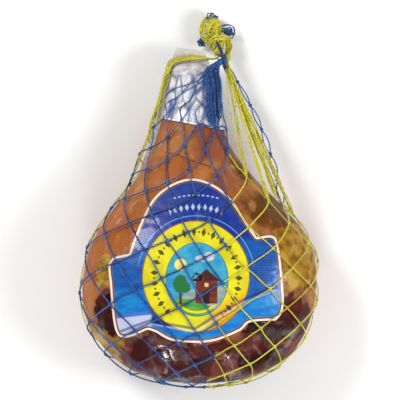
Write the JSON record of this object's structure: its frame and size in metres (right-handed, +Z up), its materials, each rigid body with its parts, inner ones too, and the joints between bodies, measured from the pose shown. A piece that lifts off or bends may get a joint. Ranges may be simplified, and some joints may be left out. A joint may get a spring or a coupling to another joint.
{
  "type": "cured ham",
  "caption": "Whole boneless dry-cured ham sealed in tight clear film with a printed label, a printed wrap round the shank and a knotted two-colour carrying net tied at the shank end",
  "frame": {"origin": "middle of the flat spot under the belly that the ham rests on", "axes": "+Y runs from the butt to the tied shank end, +Z is up out of the label, +X is to the right seen from above"},
  "size_m": [0.3013, 0.4691, 0.1508],
  "materials": {
    "ham": "cured ham with orange-brown skin, ochre fat and dark lean under tight clear glossy film",
    "wrap": "crinkled white printed film with a blue stripe",
    "label": "printed film label: blue field, yellow ring, pale disc, white outline",
    "blue_twine": "matt twisted twine, royal blue with darker strands",
    "yellow_twine": "matt twisted twine, lemon yellow"
  },
  "bodies": {
    "root": {"ham_in_film": "ham", "shank_wrap": "wrap", "label": "label", "net_front_blue": "blue_twine", "net_front_yellow": "yellow_twine", "net_back_blue": "blue_twine", "net_back_yellow": "yellow_twine", "net_tie_knot": "yellow_twine"}
  },
  "joints": []
}
